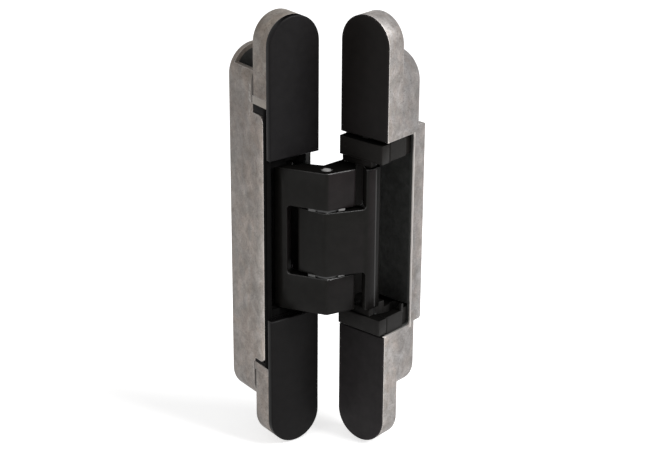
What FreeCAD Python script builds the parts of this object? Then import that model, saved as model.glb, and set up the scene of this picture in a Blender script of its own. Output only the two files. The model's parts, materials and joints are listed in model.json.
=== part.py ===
import FreeCAD, Part
import math
import os
from FreeCAD import Vector

# Concealed three-way adjustable door hinge, 188 mm long and 24 mm wide.
# Frame: X runs across the left body's face from its outer edge to its opening edge,
# Y runs into the left body, and Z is up. The pieces are drawn with Y = 0 on that face, then
# moved so that the origin lies midway between the left fixing holes, on the end plates' back.
# The left body is fixed in the door frame. Everything is drawn with the hinge closed,
# where the two faces look at each other, and is then swung to the opening angle.

# Driving dimensions, mm and degrees
BODY_LENGTH = 188.0
BODY_WIDTH = 24.0
CLOSED_GAP = 3.5
OPENING_AT_REST = 103.5
OPENING_AT_MOST = 180.0

HALF_LENGTH = BODY_LENGTH / 2
HALF_WIDTH = BODY_WIDTH / 2

# Heights shared by the arms and by the blocks that carry them
ARM_HALF_HEIGHT = 31.0
FORK_SLOT_HALF = 15.1
TONGUE_HALF = 13.9
BLOCK_STEP_CLEARANCE = 0.35
BLOCK_FACE_DROP = 3.4
BLOCK_STEP_END = ARM_HALF_HEIGHT + BLOCK_STEP_CLEARANCE
BLOCK_INNER_END = ARM_HALF_HEIGHT + BLOCK_FACE_DROP
NOTCH_CLEARANCE = 1.0
NOTCH_DEPTH = 7.4

# Pins, rollers and screws
CENTRE_PIN_RADIUS = 2.0
PIN_CHAMFER = 0.3
PIVOT_PIN_RADIUS = 1.5
SLIDER_PIN_RADIUS = 1.2
SLIDER_PIN_SEAT = 8.0
ROLLER_RADIUS = 2.0
ROLLER_LENGTH = 3.0
ROLLER_END_GAP = 0.3
RUNNING_CLEARANCE = 0.05
SEAT_CLEARANCE = 0.02
GROOVE_CLEARANCE = 0.25
GROOVE_END = BLOCK_INNER_END + ROLLER_LENGTH + 3 * ROLLER_END_GAP
FIXING_HOLE_RADIUS = 2.6
FIXING_HEAD_RADIUS = 4.8
FIXING_HEAD_DEPTH = 2.8
FIXING_HOLE_HEIGHT = HALF_LENGTH - 8.0
CLIP_RADIUS = 1.2
CLIP_LENGTH = 4.0
CLIP_SPACING = 6.5
CLIP_HEIGHT = HALF_LENGTH - 19.0
COVER_EDGE_BEVEL = 0.35

# Left body: housing, end plates, covers and carriage
L_COVER_THICK = 2.7
L_COVER_WALL = 1.2
L_COVER_RIM = 1.4
L_COVER_INNER_END = BLOCK_INNER_END + 1.0
L_PLATE_BACK = 12.9
L_PLATE_RECESS = 0.3
L_PLATE_INNER_TOP = 56.8
L_PLATE_INNER_BOTTOM = 58.2
L_PLATE_EDGE_BEVEL = 0.7
L_PLATE_COLLAR = 3.4
L_PLATE_INSET = 0.2
L_HOUSING_BACK = 29.6
L_HOUSING_FRONT = 5.2
L_HOUSING_WALL = 2.0
L_HOUSING_THIN_WALL = 1.2
L_HOUSING_FLOOR = 2.5
L_HOUSING_TOP = HALF_LENGTH - 17.0
L_HOUSING_BOTTOM = HALF_LENGTH - 14.7
L_HOUSING_SIDE_TOP = L_HOUSING_TOP - 7.0
L_SHOULDER_TOP = L_PLATE_INNER_TOP - 3.8
L_SHOULDER_BOTTOM = L_PLATE_INNER_BOTTOM - 1.8
L_SHOULDER_ROUND = 3.4
L_PLATE_SCREW_TOP = L_PLATE_INNER_TOP + 7.2
L_PLATE_SCREW_BOTTOM = L_PLATE_INNER_BOTTOM + 8.8
L_CARRIAGE_STRIP = 2.0
L_EAR_SIDE = 0.4
L_EAR_GAP = 0.1
L_CARRIAGE_WALL = 0.8
L_BLOCK_BACK = 22.0
L_BLOCK_FRONT = 1.5
L_BLOCK_END = 45.0
L_BLOCK_SIDE = 0.4
L_BLOCK_CLEARANCE = 0.2
L_STEP_FRONT = 3.3
L_STEP_SIDE = 8.8
L_CLAMP_HEIGHT = 49.5
SCREW_RADIUS = 2.0
SCREW_HEAD_RADIUS = 3.8
SCREW_HEAD_DEPTH = 2.1
SCREW_HEAD_CLEARANCE = 0.05
SCREW_SOCKET_RADIUS = 1.2
SCREW_SOCKET_DEPTH = 1.6
SCREW_LENGTH = 16.0
SCREW_END_GAP = 1.0
BOSS_RADIUS = 4.0
CLAMP_BOSS_RADIUS = 3.4
L_PIN_END = 43.0

# Right body: one-piece housing, covers, front blocks and carriage
R_COVER_THICK = 0.95
R_COVER_INNER_TOP = 43.6
R_COVER_INNER_BOTTOM = 42.6
R_FLANGE_BACK = 9.9
R_BODY_BACK = 20.7
R_BODY_TOP = HALF_LENGTH - 17.0
R_BODY_BOTTOM = HALF_LENGTH - 21.5
R_BOX_BACK = 25.1
R_BOX_TOP = 46.4
R_BOX_BOTTOM = 41.3
R_BOX_ROUND = 1.2
R_WALL = 2.0
R_THIN_WALL = 1.2
R_FLOOR = 2.5
R_WINDOW_DEPTH = 18.3
R_WINDOW_TOP = 43.3
R_WINDOW_BOTTOM = 42.2
R_WINDOW_ROUND = 2.0
R_BLOCK_PROUD = 1.8
R_BLOCK_DROP = 0.9
R_BLOCK_SIDE = 0.9
R_BLOCK_SPLIT = 3.1
R_BLOCK_SEAM = 0.35
R_BLOCK_ROUND = 0.6
R_BLOCK_STEP = 14.3
R_BLOCK_BACK = 20.2
R_BLOCK_CLEARANCE = 0.1
R_STEP_FRONT = -0.2
R_STEP_SIDE = 10.6
R_STEP_INNER = 4.5
R_STEP_BACK = 11.2
R_RIM_FOOT = 1.1
R_RIM_THICK = 1.3
R_POCKET_LIP = 3.5
R_PIN_END = 40.5
ADJUSTER_RISE = 3.9
ADJUSTER_RADIUS = 4.5
ADJUSTER_NECK = 3.3
ADJUSTER_CLEARANCE = 0.1
ADJUSTER_FRONT = 1.4
ADJUSTER_BACK = 9.0
ADJUSTER_NECK_FRONT = 5.0
ADJUSTER_NECK_BACK = 7.0
ADJUSTER_SHANK = 2.0
ADJUSTER_SHANK_BACK = 15.0
ADJUSTER_SLOT_WIDTH = 1.2
ADJUSTER_SLOT_DEPTH = 1.3

# Linkage, seen from above with the hinge closed
LINK_SHIFT = 1.25
CENTRE_FROM_EDGE = 7.25
PIVOT_FROM_EDGE = 20.9
PIVOT_DEPTH = 4.75
ARM_LEAN = 2.5
ARM_TURN_SHARE = 1.0 / 3.0
FACE_OFFSET = 5.0
KNUCKLE_RADIUS = 4.6
FACE_LENGTH = 18.0
WEB_START = 15.4
WEB_CORNER_ROUND = 1.5
FACE_CORNER_ROUND = 2.2
SHORT_FACE_LENGTH = 13.0
SHORT_FACE_SPLAY = 23.0
SHORT_FACE_ROUND = 1.5
SLIDER_REACH = 20.0
SLIDER_OFFSET = 0.5
SLIDER_EYE_RADIUS = 2.8
PIVOT_EYE_RADIUS = 2.6
SWING_CLEARANCE = 0.35
WASHER_CLEARANCE = 0.05
WASHER_RADIUS = 7.6
WASHER_INSET = 0.3
WASHER_NOTCH = 0.5

LINK_PLANE = LINK_SHIFT - CLOSED_GAP / 2
CENTRE = Vector(CENTRE_FROM_EDGE - HALF_WIDTH, LINK_PLANE, 0)
LEFT_PIVOT = Vector(PIVOT_FROM_EDGE - HALF_WIDTH, LINK_PLANE + PIVOT_DEPTH, 0)
RIGHT_PIVOT = Vector(PIVOT_FROM_EDGE - HALF_WIDTH, LINK_PLANE - PIVOT_DEPTH, 0)
RIGHT_PIVOT_DEPTH = -CLOSED_GAP - RIGHT_PIVOT.y
PIVOT_RADIUS = (LEFT_PIVOT - CENTRE).Length
FORK_SLOPE = 90.0 - ARM_LEAN
UP = Vector(0, 0, 1)


# Small shape helpers

def direction(degrees):
    """Unit vector at an angle from +X in plan."""
    return Vector(math.cos(math.radians(degrees)), math.sin(math.radians(degrees)), 0)


def angle_of(vector):
    """Plan angle of a vector in degrees."""
    return math.degrees(math.atan2(vector.y, vector.x))


def box(x0, x1, y0, y1, z0, z1):
    """Box between two corners."""
    return Part.makeBox(x1 - x0, y1 - y0, z1 - z0, Vector(x0, y0, z0))


def post(centre, radius, z0, z1):
    """Upright cylinder."""
    return Part.makeCylinder(radius, z1 - z0, Vector(centre.x, centre.y, z0), UP)


def peg(x, z, radius, y0, y1):
    """Cylinder along Y, from y0 to y1."""
    return Part.makeCylinder(radius, y1 - y0, Vector(x, y0, z), Vector(0, 1, 0))


def prism(points, z0, z1):
    """Upright prism over a closed polygon in plan."""
    corners = [Vector(p.x, p.y, z0) for p in points]
    return Part.Face(Part.makePolygon(corners + corners[:1])).extrude(Vector(0, 0, z1 - z0))


def fused(shapes):
    """One solid from several that meet."""
    return shapes[0].multiFuse(shapes[1:]).removeSplitter()


def plate(x0, x1, z0, z1, y0, y1, round_top=False, round_bottom=False):
    """Plate in the XZ plane from y0 to y1, with half-round ends where asked."""
    radius = (x1 - x0) / 2
    middle = (x0 + x1) / 2
    top = z1 - radius if round_top else z1
    bottom = z0 + radius if round_bottom else z0
    edges = [Part.makeLine(Vector(x0, y0, bottom), Vector(x0, y0, top))]
    if round_top:
        over = Part.Arc(Vector(x0, y0, top), Vector(middle, y0, z1), Vector(x1, y0, top))
        edges.append(over.toShape())
    else:
        edges.append(Part.makeLine(Vector(x0, y0, top), Vector(x1, y0, top)))
    edges.append(Part.makeLine(Vector(x1, y0, top), Vector(x1, y0, bottom)))
    if round_bottom:
        under = Part.Arc(Vector(x1, y0, bottom), Vector(middle, y0, z0), Vector(x0, y0, bottom))
        edges.append(under.toShape())
    else:
        edges.append(Part.makeLine(Vector(x1, y0, bottom), Vector(x0, y0, bottom)))
    return Part.Face(Part.Wire(edges)).extrude(Vector(0, y1 - y0, 0))


def both_ends(shape):
    """A shape and its mirror image below the middle."""
    return [shape, shape.mirror(Vector(0, 0, 0), UP)]


def edges_where(shape, test):
    """Edges whose middle point and direction pass a test."""
    found = []
    for edge in shape.Edges:
        middle = edge.valueAt((edge.FirstParameter + edge.LastParameter) / 2)
        if test(edge, middle):
            found.append(edge)
    return found


# Swing of the linkage

def centre_at(opening):
    """Centre pin at an opening angle: it circles the left pivot."""
    start = angle_of(CENTRE - LEFT_PIVOT)
    return LEFT_PIVOT + direction(start + (1 - ARM_TURN_SHARE) * opening) * PIVOT_RADIUS


def swing(shape, turn, opening):
    """Turn a closed-hinge shape about the centre pin and carry it to that pin's place."""
    moved = shape.copy()
    moved.rotate(CENTRE, UP, turn)
    moved.translate(centre_at(opening) - CENTRE)
    return moved


def right_pivot_at(opening):
    """Right pivot at an opening angle: it rides on the fork."""
    reach = RIGHT_PIVOT - CENTRE
    turned = direction(angle_of(reach) + ARM_TURN_SHARE * opening) * reach.Length
    return centre_at(opening) + turned


def swing_right(shape, opening):
    """Turn the right body about its own pivot and carry it to that pivot's place."""
    moved = shape.copy()
    moved.rotate(RIGHT_PIVOT, UP, opening)
    moved.translate(right_pivot_at(opening) - RIGHT_PIVOT)
    return moved


def face_left_body(shape):
    """Turns a right-body shape, drawn like a left one, to face the left body across the gap."""
    facing = shape.mirror(Vector(0, 0, 0), Vector(0, 1, 0))
    facing.translate(Vector(0, -CLOSED_GAP, 0))
    return facing


def mirror_link(shape):
    """Mirror an arm shape across the middle plane of the closed linkage."""
    return shape.mirror(Vector(0, LINK_PLANE, 0), Vector(0, 1, 0))


def slider_at(opening):
    """The fork's slider pin in the left body, at an opening angle."""
    slope = FORK_SLOPE + ARM_TURN_SHARE * opening
    along = direction(slope) * SLIDER_REACH
    return centre_at(opening) + along + direction(slope + 90) * SLIDER_OFFSET


def slider_path():
    """Five places of the fork's slider pin, from closed to fully open."""
    return [slider_at(OPENING_AT_MOST * i / 4) for i in range(5)]


def guide_groove(z0, z1, depth_shift):
    """Curved groove that the slider roller follows, each side made of two arcs."""
    half = ROLLER_RADIUS + GROOVE_CLEARANCE
    run = slider_path()
    sides = []
    for side in (90, -90):
        points = []
        for i, place in enumerate(run):
            ahead = run[min(i + 1, 4)] - run[max(i - 1, 0)]
            points.append(place + direction(angle_of(ahead) + side) * half)
        sides.append(points)
    near, far = sides
    start = run[0] + direction(angle_of(run[0] - run[1])) * half
    end = run[4] + direction(angle_of(run[4] - run[3])) * half
    arcs = [near[0:3], near[2:5], [near[4], end, far[4]], far[4:1:-1], far[2::-1], [far[0], start, near[0]]]
    face = Part.Face(Part.Wire([Part.Arc(*points).toShape() for points in arcs]))
    face.translate(Vector(0, depth_shift, z0))
    return face.extrude(Vector(0, 0, z1 - z0))


# Arms

def arm_frame():
    """Long direction, its outer normal, the short face's direction, and the outer corner."""
    along = direction(FORK_SLOPE)
    outer = direction(FORK_SLOPE + 90)
    short_angle = angle_of(RIGHT_PIVOT - CENTRE) - SHORT_FACE_SPLAY
    half_turn = (FORK_SLOPE + 90 - (short_angle + 270)) / 2
    corner_angle = FORK_SLOPE + 90 - half_turn
    corner = CENTRE + direction(corner_angle) * (FACE_OFFSET / math.cos(math.radians(half_turn)))
    return along, outer, direction(short_angle), corner


def slider_centre():
    """Slider pin's place on the arm, near the end of the long branch."""
    along, outer, short, corner = arm_frame()
    return CENTRE + along * SLIDER_REACH + outer * SLIDER_OFFSET


def tangent_points(p, rp, q, rq):
    """Where the two outer tangents touch two circles in plan."""
    lean = math.degrees(math.acos((rp - rq) / (q - p).Length))
    heading = angle_of(q - p)
    left = (p + direction(heading + lean) * rp, q + direction(heading + lean) * rq)
    right = (p + direction(heading - lean) * rp, q + direction(heading - lean) * rq)
    return left, right


def long_branch(z0, z1):
    """Fork side that reaches into the left body, with its flat outer face."""
    along, outer, short, corner = arm_frame()
    slider = slider_centre()
    face_end = CENTRE + along * FACE_LENGTH + outer * FACE_OFFSET
    chamfer = tangent_points(face_end, 0.0, slider, SLIDER_EYE_RADIUS)[0][1]
    inner = tangent_points(CENTRE, KNUCKLE_RADIUS, slider, SLIDER_EYE_RADIUS)[1]
    flank = prism([CENTRE, corner, face_end, chamfer, slider, inner[1], inner[0]], z0, z1)
    return fused([flank, post(slider, SLIDER_EYE_RADIUS, z0, z1)])


def short_branch(z0, z1):
    """Fork side that reaches to its fixed pivot in the right body."""
    along, outer, short, corner = arm_frame()
    face_end = corner + short * SHORT_FACE_LENGTH
    under = tangent_points(face_end, 0.0, RIGHT_PIVOT, PIVOT_EYE_RADIUS)[1][1]
    inner = tangent_points(CENTRE, KNUCKLE_RADIUS, RIGHT_PIVOT, PIVOT_EYE_RADIUS)[0]
    wedge = prism([corner, face_end, under, RIGHT_PIVOT, inner[1], inner[0], CENTRE], z0, z1)
    wedge = wedge.makeFillet(SHORT_FACE_ROUND, edges_where(
        wedge, lambda edge, middle: (Vector(middle.x, middle.y, 0) - face_end).Length < 0.01))
    return fused([wedge, post(RIGHT_PIVOT, PIVOT_EYE_RADIUS, z0, z1)])


def swept_ring(pivot_radius, z0, z1):
    """Space that the other arm's pivot sweeps past this arm, drawn as seen from the fork."""
    first = angle_of(LEFT_PIVOT - CENTRE)
    last = first + OPENING_AT_MOST * (1 - 2 * ARM_TURN_SHARE)
    reach = pivot_radius + SWING_CLEARANCE
    outer_r = PIVOT_RADIUS + reach
    inner_r = PIVOT_RADIUS - reach
    half = (first + last) / 2
    edges = [
        Part.Arc(CENTRE + direction(first) * outer_r, CENTRE + direction(half) * outer_r,
                 CENTRE + direction(last) * outer_r).toShape(),
        Part.makeLine(CENTRE + direction(last) * outer_r, CENTRE + direction(last) * inner_r),
        Part.Arc(CENTRE + direction(last) * inner_r, CENTRE + direction(half) * inner_r,
                 CENTRE + direction(first) * inner_r).toShape(),
        Part.makeLine(CENTRE + direction(first) * inner_r, CENTRE + direction(first) * outer_r),
    ]
    band = Part.Face(Part.Wire(edges))
    band.translate(Vector(0, 0, z0))
    band = band.extrude(Vector(0, 0, z1 - z0))
    return fused([band, post(CENTRE + direction(last) * PIVOT_RADIUS, reach, z0, z1)])


def beyond_step(z0, z1):
    """Everything past the web's near edge, along the long branch."""
    along, outer, short, corner = arm_frame()
    near = CENTRE + along * WEB_START
    wide = outer * BODY_WIDTH
    far = along * BODY_WIDTH
    return prism([near + wide, near - wide, near - wide + far, near + wide + far], z0, z1)


def arm_layer(z0, z1):
    """Whole arm outline over one height band, its outer corner rounded."""
    corner = arm_frame()[3]
    knuckle = post(CENTRE, KNUCKLE_RADIUS, z0, z1)
    layer = fused([knuckle, long_branch(z0, z1), short_branch(z0, z1)])
    return layer.makeFillet(FACE_CORNER_ROUND, edges_where(
        layer, lambda edge, middle: (Vector(middle.x, middle.y, 0) - corner).Length < 0.01))


def round_web_corners(arm, lug_z):
    """Round the inside corners where the lugs meet the web."""
    along = arm_frame()[0]

    def is_corner(edge, middle):
        if not isinstance(edge.Curve, Part.Line) or abs(edge.Curve.Direction.z) > 0.01:
            return False
        on_step = abs((Vector(middle.x, middle.y, 0) - CENTRE).dot(along) - WEB_START) < 0.01
        return on_step and abs(abs(middle.z) - lug_z) < 0.01

    return arm.makeFillet(WEB_CORNER_ROUND, edges_where(arm, is_corner))


def arm_bores(arm, pivot):
    """Bores for the centre pin, the fixed pivot pin and the slider pins."""
    slider = slider_centre()
    far = BODY_LENGTH
    bores = [
        post(CENTRE, CENTRE_PIN_RADIUS + RUNNING_CLEARANCE, -far, far),
        post(pivot, PIVOT_PIN_RADIUS + RUNNING_CLEARANCE, -far, far),
        post(slider, SLIDER_PIN_RADIUS + SEAT_CLEARANCE, ARM_HALF_HEIGHT - SLIDER_PIN_SEAT, far),
        post(slider, SLIDER_PIN_RADIUS + SEAT_CLEARANCE, -far, -(ARM_HALF_HEIGHT - SLIDER_PIN_SEAT)),
    ]
    return arm.cut(fused(bores[:1]).multiFuse(bores[1:]))


def fork_closed():
    """Fork arm: two lugs joined by a full-height web that works in the left body."""
    h = ARM_HALF_HEIGHT
    lugs = [arm_layer(FORK_SLOT_HALF, h), arm_layer(-h, -FORK_SLOT_HALF)]
    web = long_branch(-h, h).common(beyond_step(-h, h))
    arm = fused(lugs + [web])
    arm = round_web_corners(arm, FORK_SLOT_HALF)
    arm = arm.cut(swept_ring(PIVOT_PIN_RADIUS, -h, h))
    inner_end = TONGUE_HALF + SWING_CLEARANCE
    arm = arm.cut(swept_ring(PIVOT_EYE_RADIUS, -inner_end, inner_end))
    return arm_bores(arm, RIGHT_PIVOT)


def tongue_closed():
    """Tongue arm: one middle lug on a full-height web that works in the right body."""
    h = ARM_HALF_HEIGHT
    web = long_branch(-h, h).common(beyond_step(-h, h))
    arm = fused([arm_layer(-TONGUE_HALF, TONGUE_HALF), web])
    arm = round_web_corners(arm, TONGUE_HALF)
    arm = arm.cut(swept_ring(PIVOT_PIN_RADIUS, -h, h))
    for lug in both_ends(swept_ring(PIVOT_EYE_RADIUS, FORK_SLOT_HALF - SWING_CLEARANCE, h)):
        arm = arm.cut(lug)
    return mirror_link(arm_bores(arm, RIGHT_PIVOT))


def centre_pin_closed():
    """Centre pin with a slightly domed, chamfered end."""
    pin = post(CENTRE, CENTRE_PIN_RADIUS, -ARM_HALF_HEIGHT, ARM_HALF_HEIGHT)
    rims = edges_where(pin, lambda edge, middle: isinstance(edge.Curve, Part.Circle))
    return pin.makeChamfer(PIN_CHAMFER, rims)


def centre_washers_closed():
    """Plastic shims between the fork's lugs and the tongue, flush with the arms' faces."""
    z0 = TONGUE_HALF + WASHER_CLEARANCE
    z1 = FORK_SLOT_HALF - WASHER_CLEARANCE
    along, outer, short, corner = arm_frame()
    inset = CENTRE + (corner - CENTRE) * (1 - WASHER_INSET / FACE_OFFSET)
    reach = 2 * WASHER_RADIUS
    back = CENTRE + (CENTRE - corner).normalize() * reach
    wedge = prism([inset, inset + along * reach, back, inset + short * reach], z0, z1)
    shim = post(CENTRE, WASHER_RADIUS, z0, z1).common(wedge).common(arm_layer(z0, z1))
    shim = shim.cut(post(CENTRE, CENTRE_PIN_RADIUS + RUNNING_CLEARANCE, z0, z1))
    for face in (along, short):
        shim = shim.cut(post(inset + face * KNUCKLE_RADIUS, WASHER_NOTCH, z0, z1))
    return Part.makeCompound(both_ends(shim.removeSplitter()))


def slider_pins_closed():
    """Pins pressed into the top and bottom of an arm's web, reaching into the guide grooves."""
    tip = GROOVE_END - ROLLER_END_GAP
    pin = post(slider_centre(), SLIDER_PIN_RADIUS, ARM_HALF_HEIGHT - SLIDER_PIN_SEAT, tip)
    return Part.makeCompound(both_ends(pin))


def slider_rollers_closed():
    """Rollers on the slider pins, running in the grooves."""
    z0 = BLOCK_INNER_END + ROLLER_END_GAP
    roller = post(slider_centre(), ROLLER_RADIUS, z0, z0 + ROLLER_LENGTH)
    roller = roller.cut(post(slider_centre(), SLIDER_PIN_RADIUS + RUNNING_CLEARANCE, z0, z0 + ROLLER_LENGTH))
    return Part.makeCompound(both_ends(roller))


def pivot_pin(centre, z0, z1):
    """Fixed pivot pin that passes the whole height of the arms."""
    return post(centre, PIVOT_PIN_RADIUS, z0, z1)


# Screws along the depth

def countersink(x, z, radius, head_radius, head_depth, y0, y1):
    """Hole along Y with a cone for the screw's head at y0."""
    cone = Part.makeCone(head_radius, radius, head_depth, Vector(x, y0, z), Vector(0, 1, 0))
    return peg(x, z, radius, y0, y1).fuse(cone)


def screw_hole(z, y0):
    """Space for one countersunk screw whose head is flush at y0."""
    return countersink(0, z, SCREW_RADIUS + SEAT_CLEARANCE, SCREW_HEAD_RADIUS, SCREW_HEAD_DEPTH,
                       y0, y0 + SCREW_LENGTH + SCREW_END_GAP)


def screw(z, y0):
    """Countersunk screw with a socket, its head flush at y0."""
    shank = peg(0, z, SCREW_RADIUS, y0, y0 + SCREW_LENGTH)
    head = Part.makeCone(SCREW_HEAD_RADIUS - SCREW_HEAD_CLEARANCE, SCREW_RADIUS,
                         SCREW_HEAD_DEPTH, Vector(0, y0, z), Vector(0, 1, 0))
    return fused([shank, head]).cut(peg(0, z, SCREW_SOCKET_RADIUS, y0, y0 + SCREW_SOCKET_DEPTH))


def fixing_hole(z, y0, y1):
    """Hole for the wood screw that fixes a body, with its countersink under the cover."""
    return countersink(0, z, FIXING_HOLE_RADIUS, FIXING_HEAD_RADIUS, FIXING_HEAD_DEPTH, y0, y1)


def clip_holes(y0, y1, clearance):
    """Two pegs or peg holes side by side for a cover, above the middle."""
    return [peg(x, CLIP_HEIGHT, CLIP_RADIUS + clearance, y0, y1) for x in (-CLIP_SPACING, CLIP_SPACING)]


# Left body

def left_housing():
    """Die-cast trough with a rounded back, open at its top end."""
    w = HALF_WIDTH
    front = L_PLATE_BACK - L_PLATE_RECESS
    back = plate(-w, w, -L_HOUSING_BOTTOM, L_HOUSING_TOP, front, L_HOUSING_BACK, True, True)
    shoulders = plate(-w, w, -L_SHOULDER_BOTTOM, L_SHOULDER_TOP, L_HOUSING_FRONT, front)
    corners = edges_where(shoulders, lambda edge, middle: abs(middle.y - L_HOUSING_FRONT) < 0.01
                          and abs(middle.x) < 0.01)
    body = fused([back, shoulders.makeFillet(L_SHOULDER_ROUND, corners)])
    inner = w - L_HOUSING_WALL
    floor = L_HOUSING_BACK - L_HOUSING_FLOOR
    trough = plate(-inner, inner, -L_HOUSING_BOTTOM + L_HOUSING_WALL, L_HOUSING_TOP - L_HOUSING_WALL,
                   0, floor, True, True)
    body = body.cut(trough)
    body = body.cut(box(0, w - L_HOUSING_THIN_WALL, 0, floor, -L_BLOCK_END, L_BLOCK_END))
    body = body.cut(box(-w, w, 0, floor, L_HOUSING_SIDE_TOP, L_HOUSING_TOP))
    notch = box(0, w, 0, NOTCH_DEPTH, -BLOCK_INNER_END, BLOCK_INNER_END)
    body = body.cut(notch).cut(left_block_heads(L_BLOCK_CLEARANCE))
    for z in (L_PLATE_SCREW_TOP, -L_PLATE_SCREW_BOTTOM):
        body = body.fuse(peg(0, z, BOSS_RADIUS, front, floor)).cut(screw_hole(z, L_COVER_THICK))
    for z in (L_CLAMP_HEIGHT, -L_CLAMP_HEIGHT):
        body = body.fuse(peg(0, z, CLAMP_BOSS_RADIUS, L_HOUSING_FRONT, floor))
        body = body.cut(screw_hole(z, L_COVER_THICK))
    return body.removeSplitter()


def left_end_plate(top):
    """Die-cast end plate behind a cover, with a collar, a fixing hole and a housing screw hole."""
    inner = L_PLATE_INNER_TOP if top else L_PLATE_INNER_BOTTOM
    housing_end = L_HOUSING_TOP if top else L_HOUSING_BOTTOM
    screw_z = L_PLATE_SCREW_TOP if top else L_PLATE_SCREW_BOTTOM
    wide = HALF_WIDTH
    narrow = HALF_WIDTH - L_PLATE_INSET
    body = plate(-narrow, narrow, inner, HALF_LENGTH, L_COVER_THICK, L_PLATE_BACK, True)
    rim = edges_where(body, lambda edge, middle: abs(middle.y - L_PLATE_BACK) < 0.01
                      and middle.z > inner + 0.01)
    body = body.makeChamfer(L_PLATE_EDGE_BEVEL, rim)
    recess = plate(-wide - SEAT_CLEARANCE, wide + SEAT_CLEARANCE, 0, housing_end + SEAT_CLEARANCE,
                   L_PLATE_BACK - L_PLATE_RECESS, L_PLATE_BACK, True)
    collar = box(-wide, wide, L_COVER_THICK, L_PLATE_BACK - L_PLATE_RECESS, inner, inner + L_PLATE_COLLAR)
    body = fused([body.cut(recess), collar])
    body = body.cut(fixing_hole(FIXING_HOLE_HEIGHT, L_COVER_THICK, L_PLATE_BACK))
    body = body.cut(screw_hole(screw_z, L_COVER_THICK))
    for hole in clip_holes(L_COVER_THICK, L_COVER_THICK + CLIP_LENGTH, SEAT_CLEARANCE):
        body = body.cut(hole)
    return body if top else body.mirror(Vector(0, 0, 0), UP)


def left_cover(top):
    """Hollow cover cap with two pegs that clip into the end plate."""
    w = HALF_WIDTH
    body = plate(-w, w, L_COVER_INNER_END, HALF_LENGTH, 0, L_COVER_THICK, True)
    front = edges_where(body, lambda edge, middle: abs(middle.y) < 0.01)
    body = body.makeChamfer(COVER_EDGE_BEVEL, front)
    inner = w - L_COVER_RIM
    hollow = plate(-inner, inner, L_COVER_INNER_END + L_COVER_RIM, HALF_LENGTH - L_COVER_RIM,
                   L_COVER_WALL, L_COVER_THICK, True)
    body = fused([body.cut(hollow)] + clip_holes(L_COVER_WALL, L_COVER_THICK + CLIP_LENGTH, 0))
    return body if top else body.mirror(Vector(0, 0, 0), UP)


def left_block_heads(clearance):
    """Parts of the carriage blocks that stand above the housing's opening wall."""
    head = box(0, HALF_WIDTH - L_BLOCK_SIDE + clearance, L_COVER_THICK,
               NOTCH_DEPTH - L_BLOCK_SIDE + clearance, BLOCK_INNER_END - clearance, L_BLOCK_END + clearance)
    heads = both_ends(head)
    return heads[0].fuse(heads[1])


def left_carriage():
    """Black carriage: a lip on the housing's front edge, two guide blocks and a lined pocket."""
    w = HALF_WIDTH
    top_end = L_PLATE_INNER_TOP - 2 * L_EAR_GAP
    bottom_end = L_PLATE_INNER_BOTTOM - 2 * L_EAR_GAP
    lip = plate(-w, w, -bottom_end, top_end, L_COVER_THICK, L_HOUSING_FRONT)
    lip = lip.cut(box(-w + L_CARRIAGE_STRIP, w, 0, BODY_WIDTH, -BLOCK_INNER_END, BLOCK_INNER_END))
    inner = w - L_HOUSING_WALL - L_BLOCK_CLEARANCE
    rise = w - L_COVER_RIM - L_BLOCK_CLEARANCE
    z_rise = L_COVER_INNER_END + L_COVER_RIM + L_BLOCK_CLEARANCE
    side = w - L_HOUSING_THIN_WALL - SEAT_CLEARANCE
    end = L_BLOCK_END - SEAT_CLEARANCE
    ear = w - L_EAR_SIDE
    ear_back = L_PLATE_BACK - L_PLATE_RECESS - L_EAR_GAP
    pieces = [lip, left_block_heads(0)]
    pieces.append(box(-ear, ear, L_COVER_THICK, ear_back, L_SHOULDER_TOP + L_EAR_GAP, top_end))
    pieces.append(box(-ear, ear, L_COVER_THICK, ear_back, -bottom_end, -L_SHOULDER_BOTTOM - L_EAR_GAP))
    pieces += both_ends(box(-inner, side, L_COVER_THICK, L_BLOCK_BACK, BLOCK_INNER_END, end))
    pieces += both_ends(box(-rise, rise, L_BLOCK_FRONT, L_COVER_THICK, z_rise, L_BLOCK_END))
    pieces += both_ends(box(-inner, L_STEP_SIDE, L_STEP_FRONT, L_BLOCK_BACK, BLOCK_STEP_END, BLOCK_INNER_END))
    floor = L_HOUSING_BACK - L_HOUSING_FLOOR
    pieces.append(box(side - L_CARRIAGE_WALL, side, NOTCH_DEPTH, floor, -end, end))
    pieces.append(box(-inner, side, floor - L_CARRIAGE_WALL, floor, -end, end))
    body = fused(pieces)
    for groove in both_ends(guide_groove(ARM_HALF_HEIGHT, GROOVE_END, 0)):
        body = body.cut(groove)
    body = body.cut(post(LEFT_PIVOT, PIVOT_PIN_RADIUS + SEAT_CLEARANCE, -L_PIN_END, L_PIN_END))
    for z in (L_CLAMP_HEIGHT, -L_CLAMP_HEIGHT):
        body = body.cut(screw_hole(z, L_COVER_THICK))
    return body.removeSplitter()


# Right body, drawn like a left one: Y runs into the body from its face

def adjuster_height(top):
    """Height of an adjusting screw above or below the pocket's end."""
    return (R_WINDOW_TOP if top else R_WINDOW_BOTTOM) + ADJUSTER_RISE


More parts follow.
